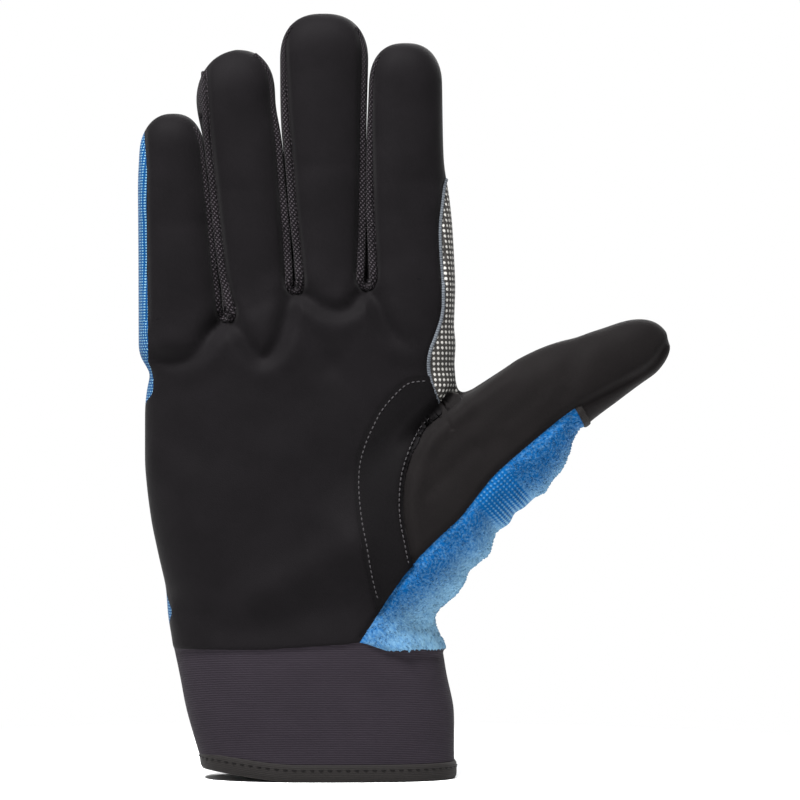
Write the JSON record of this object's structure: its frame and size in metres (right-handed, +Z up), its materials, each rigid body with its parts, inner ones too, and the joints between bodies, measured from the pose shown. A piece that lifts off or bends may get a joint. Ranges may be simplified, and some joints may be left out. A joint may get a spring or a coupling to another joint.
{
  "type": "sailing glove",
  "caption": "Right-hand full-finger sailing glove with suede palm, stretch back, elastic cuff and hook-and-loop wrist strap; fingers and thumb fold and the strap peels open.",
  "frame": {"origin": "centre of the wrist opening, in the plane of the cuff's rim", "axes": "+Z up the hand to the fingertips, -Y out of the palm, +X to the thumb's side"},
  "size_m": [0.1815, 0.0492, 0.259],
  "materials": {
    "suede": "napped synthetic suede, near black",
    "stretch_knit": "blue stretch pique knit",
    "grip_mesh": "grey knit with small pale dots",
    "side_knit": "charcoal twill knit",
    "cuff_fabric": "dark grey fine ribbed elastic knit",
    "binding": "folded grey-brown binding tape",
    "neoprene": "black fabric-faced neoprene",
    "pull_tab_rubber": "matt moulded rubber",
    "hook": "hook tape",
    "loop": "loop pile tape",
    "label_tape": "plain satin tape, blank"
  },
  "bodies": {
    "hand": {"palm_suede": "suede", "thumb_root_suede": "suede", "thumb_root_stretch": "stretch_knit", "back_stretch": "stretch_knit", "index_side_grip": "grip_mesh", "thumb_crotch_patch": "suede", "grip_tape": "binding", "fourchette_webs": "side_knit", "cuff_knit": "cuff_fabric", "cuff_back": "neoprene", "hem_tape": "binding", "loop_patch": "loop", "strap_anchor": "neoprene", "care_label": "label_tape"},
    "little_proximal": {"little_proximal_suede": "suede", "little_proximal_back": "stretch_knit", "little_proximal_fourchette": "side_knit"},
    "little_distal": {"little_distal_suede": "suede", "little_distal_back": "stretch_knit", "little_distal_fourchette": "side_knit"},
    "ring_proximal": {"ring_proximal_suede": "suede", "ring_proximal_back": "stretch_knit", "ring_proximal_fourchettes": "side_knit"},
    "ring_distal": {"ring_distal_suede": "suede", "ring_distal_back": "stretch_knit", "ring_distal_fourchettes": "side_knit"},
    "middle_proximal": {"middle_proximal_suede": "suede", "middle_proximal_back": "stretch_knit", "middle_proximal_fourchettes": "side_knit"},
    "middle_distal": {"middle_distal_suede": "suede", "middle_distal_back": "stretch_knit", "middle_distal_fourchettes": "side_knit"},
    "index_proximal": {"index_proximal_suede": "suede", "index_proximal_back": "stretch_knit", "index_proximal_fourchette": "side_knit", "index_proximal_grip": "grip_mesh"},
    "index_distal": {"index_distal_suede": "suede", "index_distal_back": "stretch_knit", "index_distal_fourchette": "side_knit"},
    "thumb_proximal": {"thumb_proximal_suede": "suede", "thumb_proximal_stretch": "stretch_knit"},
    "thumb_distal": {"thumb_distal_suede": "suede", "thumb_distal_cap": "suede", "thumb_distal_tape": "binding"},
    "strap": {"closure_strap": "neoprene", "hook_patch": "hook", "strap_pull_tab": "pull_tab_rubber"}
  },
  "joints": [
    {"name": "little_base_fold", "type": "hinge", "parent": "hand", "child": "little_proximal", "pos_m": [-0.0497, -0.0129, 0.158], "axis": [1, 0, 0], "range_deg": [0, 75], "stiffness_Nm_per_rad": 0.01},
    {"name": "little_middle_fold", "type": "hinge", "parent": "little_proximal", "child": "little_distal", "pos_m": [-0.0509, -0.012, 0.188], "axis": [1, 0, 0], "range_deg": [0, 80], "stiffness_Nm_per_rad": 0.006},
    {"name": "ring_base_fold", "type": "hinge", "parent": "hand", "child": "ring_proximal", "pos_m": [-0.0232, -0.0129, 0.164], "axis": [1, 0, 0], "range_deg": [0, 75], "stiffness_Nm_per_rad": 0.01},
    {"name": "ring_middle_fold", "type": "hinge", "parent": "ring_proximal", "child": "ring_distal", "pos_m": [-0.02602, -0.012, 0.199], "axis": [1, 0, 0], "range_deg": [0, 80], "stiffness_Nm_per_rad": 0.006},
    {"name": "middle_base_fold", "type": "hinge", "parent": "hand", "child": "middle_proximal", "pos_m": [0.0006, -0.0129, 0.168], "axis": [1, 0, 0], "range_deg": [0, 75], "stiffness_Nm_per_rad": 0.01},
    {"name": "middle_middle_fold", "type": "hinge", "parent": "middle_proximal", "child": "middle_distal", "pos_m": [0.00013, -0.012, 0.207], "axis": [1, 0, 0], "range_deg": [0, 80], "stiffness_Nm_per_rad": 0.006},
    {"name": "index_base_fold", "type": "hinge", "parent": "hand", "child": "index_proximal", "pos_m": [0.0285, -0.0129, 0.168], "axis": [1, 0, 0], "range_deg": [0, 75], "stiffness_Nm_per_rad": 0.01},
    {"name": "index_middle_fold", "type": "hinge", "parent": "index_proximal", "child": "index_distal", "pos_m": [0.02795, -0.012, 0.202], "axis": [1, 0, 0], "range_deg": [0, 80], "stiffness_Nm_per_rad": 0.006},
    {"name": "thumb_swing", "type": "hinge", "parent": "hand", "child": "thumb_proximal", "pos_m": [0.0435, -0.0226, 0.095], "axis": [0, 0, -1], "range_deg": [0, 50], "stiffness_Nm_per_rad": 0.015},
    {"name": "thumb_tip_fold", "type": "hinge", "parent": "thumb_proximal", "child": "thumb_distal", "pos_m": [0.0835, -0.0175, 0.13595], "axis": [0.58, 0, -0.8146], "range_deg": [0, 65], "stiffness_Nm_per_rad": 0.006},
    {"name": "strap_peel", "type": "hinge", "parent": "hand", "child": "strap", "pos_m": [0.036, 0.0216, 0.026], "axis": [0, 0, -1], "range_deg": [0, 140]}
  ]
}
